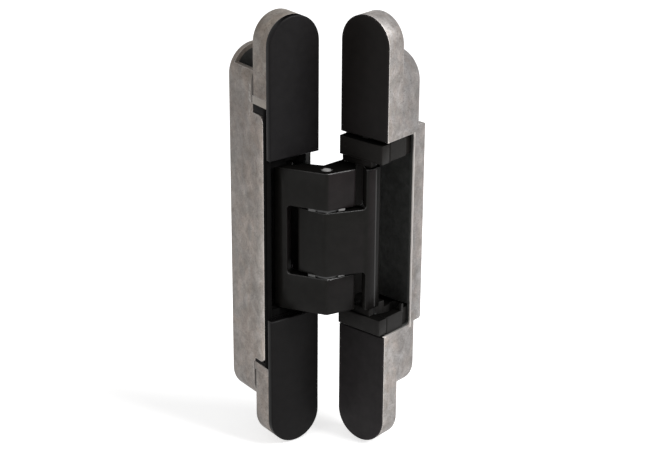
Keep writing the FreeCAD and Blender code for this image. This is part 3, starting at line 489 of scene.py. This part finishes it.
def satin_tint(tree, place, shade, on_top, height_shading, lit_tone, depth_tone):
    """Colour of a black coat, with painted shade on top and painted light and shade along its height,
    its lit side and its depth.
    """
    tint = ramp(tree, noise(tree, scale=240), [(0.35, scaled(shade, 0.88)), (0.65, scaled(shade, 1.15))])
    # Painted light and shade along the height
    if height_shading:
        tint = multiply(tree, tint, along(tree, place[2], height_shading))
    # Painted light on the faces towards the key lamp
    if lit_tone:
        lit = multiply(tree, tint, along(tree, place[2], lit_tone))
        tint = blend(tree, facing(tree, LIT_SIDE, *SIDE_FACING), tint, lit)
    # Painted shade on the top faces
    tint = blend(tree, on_top, tint, scaled(shade, TOP_SHADE_FACTOR))
    # Painted light and shade along the depth
    if depth_tone:
        tint = multiply(tree, tint, along(tree, place[1], depth_tone))
    return tint


def satin_sheen(tree, on_top, sheen, edge_round, edge_sheen, dull_side):
    """Sheen of a black coat: none on top and on its dull side, more along its edges."""
    level = blend(tree, on_top, grey(sheen), NO_SHEEN)
    edge_level = blend(tree, rising_edge(tree, edge_round), grey(UPRIGHT_EDGE_SHEEN), grey(edge_sheen))
    level = blend(tree, edges(tree, edge_round), level, edge_level)
    if dull_side:
        level = blend(tree, facing(tree, dull_side, *SIDE_FACING), level, NO_SHEEN)
    return level


def satin_black(name, shade, rough, edge_round, edge_sheen, sheen=FACE_SHEEN, height_shading=None,
                dull_side=None, lit_tone=None, depth_tone=None, paint=()):
    """Satin black coat with a fine grain."""
    material, tree, shader = new_material(name)
    place = body_place(tree)
    on_top = facing(tree, UP, *TOP_FACING)
    tint = satin_tint(tree, place, shade, on_top, height_shading, lit_tone, depth_tone)
    tree.links.new(painted(tree, place, tint, paint), shader.inputs["Base Color"])
    shader.inputs["Metallic"].default_value = 0.0
    level = satin_sheen(tree, on_top, sheen, edge_round, edge_sheen, dull_side)
    tree.links.new(level, shader.inputs["Specular IOR Level"])
    roughness = spread(tree, noise(tree, scale=600, detail=3), rough, rough + ROUGHNESS_STEP)
    tree.links.new(roughness, shader.inputs["Roughness"])
    grain = noise(tree, scale=4200, detail=2, roughness=0.5)
    bumped(tree, shader, grain, strength=0.12, distance=0.00008, edge_round=edge_round)
    return material


# Small parts: shims, pins and screws

# Boxes round the two visible ends of the shims, painted lighter: the shims' pale colour where light
# reaches them, the right end brighter as a painted highlight
SHIM_LEFT = ((-0.001, -0.028, -0.016), (0.0034, -0.014, 0.016))
SHIM_RIGHT = ((0.0108, -0.030, -0.016), (0.0160, -0.026, 0.016))
SHIM_PAINT = ((SHIM_LEFT, (0.05, 0.049, 0.049)), (SHIM_RIGHT, (0.26, 0.255, 0.255)))


def plain(name, dark, light, metallic, rough, paint=()):
    """Simple finish with a faint variation."""
    material, tree, shader = new_material(name)
    colour = ramp(tree, noise(tree, scale=500), [(0.35, dark), (0.65, light)])
    colour = painted(tree, body_place(tree), colour, paint)
    tree.links.new(colour, shader.inputs["Base Color"])
    shader.inputs["Metallic"].default_value = metallic
    roughness = spread(tree, noise(tree, scale=900, detail=3), rough * 0.85, rough * 1.15)
    tree.links.new(roughness, shader.inputs["Roughness"])
    return material


# Finishes by name

FINISHES = {
    "plate": raw_zinc("raw_zinc_plate", PLATE_DEPTH_TONE, PLATE_RIM_HIGHLIGHT, LEFT_ZINC_SHADING,
                      paint=[(PLATE_BAND, PLATE_BAND_SHADE)]),
    "zinc_left": raw_zinc("raw_zinc_left", LEFT_DEPTH_SHADING, LEFT_RIM_HIGHLIGHT, LEFT_ZINC_SHADING,
                          hollow=trough_hollow, hollow_shade=TROUGH_SHADE,
                          paint=LEFT_PAINT, chipped=CHIPPED_STRIP),
    "zinc_right": raw_zinc("raw_zinc_right", RIGHT_DEPTH_TONE, RIGHT_RIM_HIGHLIGHT, RIGHT_ZINC_TONE,
                           hollow=pocket_hollow, hollow_shade=POCKET_SHADE,
                           origin=RIGHT_ORIGIN, turn=RIGHT_TURN, paint=RIGHT_PAINT),
    "cover_left": satin_black("black_cover_left", LEFT_COVER_BLACK, rough=0.38,
                              edge_round=COVER_EDGE_ROUND, edge_sheen=0.5, height_shading=LEFT_COVER_SHADING),
    "cover_right": satin_black("black_cover_right", RIGHT_COVER_BLACK, rough=0.38,
                               edge_round=COVER_EDGE_ROUND, edge_sheen=0.3, height_shading=RIGHT_SHADING),
    "fork": satin_black("black_fork", ARM_BLACK, **ARM_COAT),
    "tongue": satin_black("black_tongue", ARM_BLACK, **ARM_COAT, paint=WEB_PAINT),
    "block": satin_black("black_block", BLOCK_BLACK, rough=0.42, edge_round=COVER_EDGE_ROUND,
                         edge_sheen=0.12, height_shading=RIGHT_SHADING),
    "inner": satin_black("black_inner", INNER_BLACK, rough=0.5, edge_round=INNER_EDGE_ROUND,
                         edge_sheen=0.03, sheen=0.015, dull_side=INNER_DULL_SIDE,
                         depth_tone=INNER_DEPTH_SHADING),
    # Shims painted dark, as painted shade between the lugs, with their lit ends painted lighter
    "shim": plain("shim", dark=grey(0.006), light=grey(0.009), metallic=0.0, rough=0.4,
                  paint=SHIM_PAINT),
    "pin": plain("pin_end", dark=(0.16, 0.158, 0.155), light=(0.26, 0.255, 0.25), metallic=0.3,
                 rough=0.45),
    # Pins, rollers and the adjusting screws painted near black, as painted shade where they sit between
    # the parts
    "steel_in_shade": plain("steel_in_shade", dark=grey(0.005), light=grey(0.009), metallic=0.0, rough=0.5),
    "steel": plain("steel", dark=(0.42, 0.41, 0.4), light=(0.55, 0.54, 0.53), metallic=0.9, rough=0.35),
}

# Nodes with a finish of their own, the others go by their names
FINISH_OF_NODE = {
    "left_housing": "zinc_left",
    "right_housing": "zinc_right",
    "left_end_plate_top": "plate",
    "left_end_plate_bottom": "plate",
    "fork_arm": "fork",
    "tongue_arm": "tongue",
    "centre_washers": "shim",
    "centre_pin": "pin",
    "left_carriage": "inner",
    "right_adjusting_screws": "steel_in_shade",
}


def finish_for(node):
    """The finish of a CAD node."""
    if node in FINISH_OF_NODE:
        return FINISHES[FINISH_OF_NODE[node]]
    if "cover" in node:
        return FINISHES["cover_left" if node.startswith("left") else "cover_right"]
    # Pins and rollers take the steel painted near black as shade
    if "pin" in node or "roller" in node:
        return FINISHES["steel_in_shade"]
    if "screw" in node:
        return FINISHES["steel"]
    return FINISHES["block"]


def dress(node, thing):
    """Gives a CAD piece its finish and small rounded edges."""
    thing.data.materials.clear()
    thing.data.materials.append(finish_for(node))
    weld = thing.modifiers.new("weld", "WELD")
    weld.merge_threshold = WELD_DISTANCE
    edge = thing.modifiers.new("edge", "BEVEL")
    edge.width = EDGE_WIDTH
    edge.segments = EDGE_SEGMENTS
    edge.limit_method = "ANGLE"
    edge.angle_limit = EDGE_ANGLE
    edge.harden_normals = True
    for polygon in thing.data.polygons:
        polygon.use_smooth = True


for name, thing in frame["nodes"].items():
    dress(name, thing)

# Closing strip of the right body's back wall, under its rear box, where the solid has a slit

STRIP_LOW = (-0.0101, -0.02068, -0.0423)
STRIP_HIGH = (0.0109, -0.0203, -0.0412)
BOX_FACES = ((0, 1, 3, 2), (4, 6, 7, 5), (0, 4, 5, 1), (2, 3, 7, 6), (0, 2, 6, 4), (1, 5, 7, 3))


def back_strip():
    """Plain zinc strip that rides the right body."""
    turn = Matrix.Rotation(RIGHT_TURN, 3, "Z")
    corners = []
    for x in (STRIP_LOW[0], STRIP_HIGH[0]):
        for y in (STRIP_LOW[1], STRIP_HIGH[1]):
            for z in (STRIP_LOW[2], STRIP_HIGH[2]):
                corners.append(RIGHT_ORIGIN + turn @ Vector((x, y, z)))
    mesh = bpy.data.meshes.new("right_back_strip")
    mesh.from_pydata(corners, [], BOX_FACES)
    mesh.materials.append(FINISHES["zinc_right"])
    strip = bpy.data.objects.new("right_back_strip", mesh)
    bpy.context.scene.collection.objects.link(strip)
    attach(strip, "right_body")


back_strip()

# Floor and light

FLOOR_HEIGHT = -0.0946
FLOOR_SIZE = 8
FLOOR_COLOUR = grey(0.82)
FLOOR_ROUGHNESS = 0.9
# White that the floor shows the camera by itself, near the hinge and far away
FLOOR_GLOW_NEAR = 0.62
FLOOR_GLOW_FAR = 1.0
# Distances from the hinge where the lamps light the floor and where it is white by itself
FLOOR_LIT_TO = 0.5
FLOOR_WHITE_FROM = 1.4
SURROUND_LIGHT = 0.32
# Lamps as (name, place, aim, size, watts)
LAMPS = (
    ("key", (0.5, -0.7, 0.6), (0.01, 0, 0), (0.5, 0.5), 8),
    ("top", (0.3, -0.5, 1.0), (0.01, -0.02, 0), (0.3, 0.3), 5),
    ("left_fill", (-0.9, -0.1, 0.3), (0, 0, 0), (0.6, 0.8), 2),
)


def seen_directly(tree):
    """1 where a ray comes from the camera or off a shiny surface, else 0."""
    path = tree.nodes.new("ShaderNodeLightPath")
    total = path.outputs["Is Camera Ray"]
    for name in ("Is Glossy Ray", "Is Transmission Ray"):
        total = combined(tree, "MAXIMUM", total, path.outputs[name])
    return total


def floor_material():
    """White floor that keeps the shadow near the hinge and is plain white far away."""
    material, tree, shader = new_material("floor_white")
    shader.inputs["Base Color"].default_value = (*FLOOR_COLOUR, 1)
    shader.inputs["Roughness"].default_value = FLOOR_ROUGHNESS
    shader.inputs["Specular IOR Level"].default_value = 0.0
    shader.inputs["Emission Color"].default_value = (*WHITE, 1)
    coords = tree.nodes.new("ShaderNodeTexCoord")
    distance = tree.nodes.new("ShaderNodeVectorMath")
    distance.operation = "LENGTH"
    tree.links.new(coords.outputs["Object"], distance.inputs[0])
    glow = mapped(tree, distance.outputs["Value"], FLOOR_LIT_TO, FLOOR_WHITE_FROM,
                  FLOOR_GLOW_NEAR, FLOOR_GLOW_FAR)
    tree.links.new(product(tree, seen_directly(tree), glow), shader.inputs["Emission Strength"])
    return material


def stage():
    """Wide white floor that runs past every view."""
    bpy.ops.mesh.primitive_plane_add(size=FLOOR_SIZE, location=(0, 0, FLOOR_HEIGHT))
    floor = bpy.context.object
    floor.name = "floor"
    floor.data.materials.append(floor_material())


def world_light():
    """White surroundings, seen as white and lighting the object more softly."""
    world = bpy.data.worlds.new("surroundings")
    bpy.context.scene.world = world
    world.use_nodes = True
    tree = world.node_tree
    background = tree.nodes["Background"]
    background.inputs["Color"].default_value = (*WHITE, 1)
    level = mapped(tree, seen_directly(tree), 0.0, 1.0, SURROUND_LIGHT, 1.0)
    tree.links.new(level, background.inputs["Strength"])


def area_light(name, place, aim, size, power):
    """Soft rectangular light aimed at a point."""
    data = bpy.data.lights.new(name, "AREA")
    data.shape = "RECTANGLE"
    data.size, data.size_y = size
    data.energy = power
    thing = bpy.data.objects.new(name, data)
    bpy.context.scene.collection.objects.link(thing)
    thing.location = place
    thing.rotation_euler = (Vector(aim) - Vector(place)).to_track_quat("-Z", "Y").to_euler()


stage()
world_light()
for lamp in LAMPS:
    area_light(*lamp)

# Camera, fitted to the photo, with its angles in degrees

CAMERA_PLACE = (-0.385755, -0.566572, 0.278094)
CAMERA_YAW = 35.906
CAMERA_PITCH = 21.988
CAMERA_ROLL = 0.296
CAMERA_FOCAL_PX = 1776.2
PHOTO_WIDTH_PX = 650
SENSOR_WIDTH_MM = 36
NEAREST_SEEN = 0.01


def camera():
    """Camera at the photo's viewing angle."""
    yaw, pitch, roll = (math.radians(angle) for angle in (CAMERA_YAW, CAMERA_PITCH, CAMERA_ROLL))
    ahead = Vector((math.sin(yaw) * math.cos(pitch), math.cos(yaw) * math.cos(pitch), -math.sin(pitch)))
    right = Vector((math.cos(yaw), -math.sin(yaw), 0))
    up = right.cross(ahead)
    turned_right = math.cos(roll) * right + math.sin(roll) * up
    turned_up = -math.sin(roll) * right + math.cos(roll) * up
    data = bpy.data.cameras.new("camera")
    data.sensor_width = SENSOR_WIDTH_MM
    data.lens = CAMERA_FOCAL_PX / PHOTO_WIDTH_PX * SENSOR_WIDTH_MM
    data.clip_start = NEAREST_SEEN
    thing = bpy.data.objects.new("camera", data)
    bpy.context.scene.collection.objects.link(thing)
    basis = Matrix((turned_right, turned_up, -ahead)).transposed().to_4x4()
    thing.matrix_world = Matrix.Translation(CAMERA_PLACE) @ basis
    bpy.context.scene.camera = thing


camera()
bpy.context.scene.view_settings.view_transform = "Standard"
